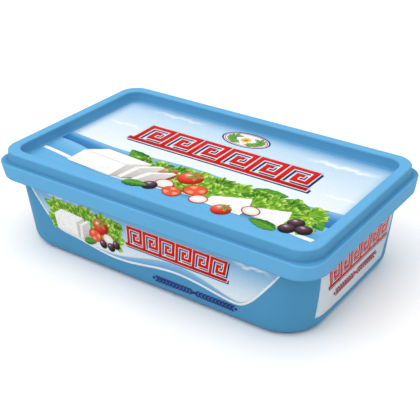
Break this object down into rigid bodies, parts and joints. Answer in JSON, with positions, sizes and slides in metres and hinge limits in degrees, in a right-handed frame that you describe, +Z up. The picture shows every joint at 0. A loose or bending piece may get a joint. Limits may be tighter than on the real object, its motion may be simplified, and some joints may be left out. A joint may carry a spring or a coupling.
{
  "type": "tub of processed cheese",
  "caption": "Closed rectangular plastic tub of processed cheese with a press-on lid, a raised rim and a recessed printed panel.",
  "frame": {"origin": "on the surface it stands on, under the middle of the tub", "axes": "+Z up, X along the long side, -Y towards the shown long side, +X towards the shown end"},
  "size_m": [0.15, 0.092, 0.042],
  "materials": {
    "tub_plastic": "blue injection-moulded polypropylene with a satin printed film moulded into its wall",
    "lid_plastic": "light blue injection-moulded polypropylene, satin, with a printed film moulded into its panel"
  },
  "bodies": {
    "root": {"tub": "tub_plastic", "lid": "lid_plastic"}
  },
  "joints": []
}
